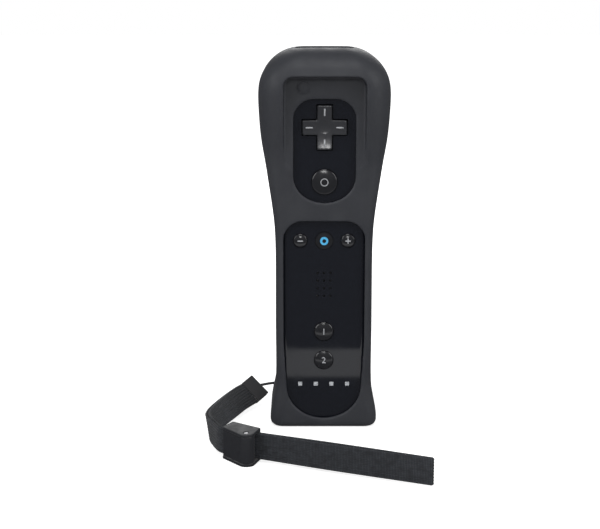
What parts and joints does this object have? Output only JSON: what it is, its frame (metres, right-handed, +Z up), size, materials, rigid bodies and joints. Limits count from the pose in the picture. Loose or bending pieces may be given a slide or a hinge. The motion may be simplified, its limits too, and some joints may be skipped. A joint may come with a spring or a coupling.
{
  "type": "motion controller wand",
  "caption": "Handheld motion controller with a direction pad, press buttons and a back trigger, in a thick silicone sleeve with a wrist strap and cam lock.",
  "frame": {"origin": "middle of the sleeve's flat base, on the surface that the wand stands on", "axes": "+Z up along the wand, -Y out of the button face, +X to the right as the face is seen"},
  "size_m": [0.0899, 0.1073, 0.1615],
  "materials": {
    "silicone": "satin",
    "gloss_black": "polished",
    "satin_black": "satin",
    "ring_blue": "satin",
    "light_lens": "clear",
    "dark_window": "tinted",
    "steel": "bright",
    "contact": "plated",
    "board_green": "satin",
    "chip_white": "satin",
    "cell_grey": "printed sleeve, plain",
    "mat_grey": "matte",
    "string_black": "braided",
    "webbing_black": "ribbed weave",
    "tab_black": "stitched",
    "lock_black": "moulded"
  },
  "bodies": {
    "wand": {"sleeve": "silicone", "front_case": "gloss_black", "rear_case": "satin_black", "battery_door": "satin_black", "case_screws": "steel", "d_pad_post": "satin_black", "trigger_pin": "steel", "trigger_switch": "satin_black", "led_lenses": "light_lens", "led_chips": "chip_white", "speaker": "satin_black", "main_board": "board_green", "gyro_board": "board_green", "radio_shield": "steel", "upper_keymat": "mat_grey", "middle_keymat": "mat_grey", "lower_keymat": "mat_grey", "battery_cells": "cell_grey", "battery_contacts": "contact", "rumble_motor": "steel", "ir_camera": "satin_black", "ir_window": "dark_window", "expansion_connector": "satin_black", "strap_string": "string_black", "string_tab": "tab_black", "wrist_webbing": "webbing_black"},
    "a": {"a_button": "gloss_black"},
    "minus": {"minus_button": "gloss_black"},
    "home": {"home_button": "gloss_black", "home_ring": "ring_blue"},
    "plus": {"plus_button": "gloss_black"},
    "one": {"one_button": "gloss_black"},
    "two": {"two_button": "gloss_black"},
    "power": {"power_button": "gloss_black"},
    "pad_rocker": {"d_pad_rocker": "satin_black"},
    "pad": {"d_pad": "gloss_black"},
    "trigger": {"b_trigger": "gloss_black"},
    "rumble": {"rumble_weight": "steel"},
    "sync": {"sync_button": "satin_black"},
    "lock": {"lock_frame": "lock_black", "lock_pin": "steel"},
    "lever": {"lock_lever": "lock_black"}
  },
  "joints": [
    {"name": "a_press", "type": "slide", "parent": "wand", "child": "a", "axis": [0, 1, 0], "range_m": [0, 0.0008], "stiffness_N_per_m": 800},
    {"name": "minus_press", "type": "slide", "parent": "wand", "child": "minus", "axis": [0, 1, 0], "range_m": [0, 0.0008], "stiffness_N_per_m": 800},
    {"name": "home_press", "type": "slide", "parent": "wand", "child": "home", "axis": [0, 1, 0], "range_m": [0, 0.0008], "stiffness_N_per_m": 800},
    {"name": "plus_press", "type": "slide", "parent": "wand", "child": "plus", "axis": [0, 1, 0], "range_m": [0, 0.0008], "stiffness_N_per_m": 800},
    {"name": "one_press", "type": "slide", "parent": "wand", "child": "one", "axis": [0, 1, 0], "range_m": [0, 0.0008], "stiffness_N_per_m": 800},
    {"name": "two_press", "type": "slide", "parent": "wand", "child": "two", "axis": [0, 1, 0], "range_m": [0, 0.0008], "stiffness_N_per_m": 800},
    {"name": "power_press", "type": "slide", "parent": "wand", "child": "power", "axis": [0, 1, 0], "range_m": [0, 0.0005], "stiffness_N_per_m": 1200},
    {"name": "pad_left_right", "type": "hinge", "parent": "wand", "child": "pad_rocker", "pos_m": [0, -0.0102, 0.1292], "axis": [0, 0, 1], "range_deg": [-3.5, 3.5], "stiffness_Nm_per_rad": 0.5},
    {"name": "pad_up_down", "type": "hinge", "parent": "pad_rocker", "child": "pad", "pos_m": [0, -0.0102, 0.1292], "axis": [1, 0, 0], "range_deg": [-3.5, 3.5], "stiffness_Nm_per_rad": 0.5},
    {"name": "trigger_pull", "type": "hinge", "parent": "wand", "child": "trigger", "pos_m": [0, 0.0094, 0.1342], "axis": [-1, 0, 0], "range_deg": [0, 7], "stiffness_Nm_per_rad": 0.6},
    {"name": "rumble_spin", "type": "hinge", "parent": "wand", "child": "rumble", "pos_m": [0, 0.0062, 0.09], "axis": [1, 0, 0], "continuous": true},
    {"name": "sync_press", "type": "slide", "parent": "wand", "child": "sync", "axis": [0, -1, 0], "range_m": [0, 0.0006], "stiffness_N_per_m": 800},
    {"name": "lock_slide", "type": "slide", "parent": "wand", "child": "lock", "axis": [0.9213, -0.3889, 0], "range_m": [0, 0.06]},
    {"name": "lever_turn", "type": "hinge", "parent": "lock", "child": "lever", "pos_m": [-0.03137, -0.05948, 0.00665], "axis": [0, 0, 1], "range_deg": [0, 95]}
  ]
}
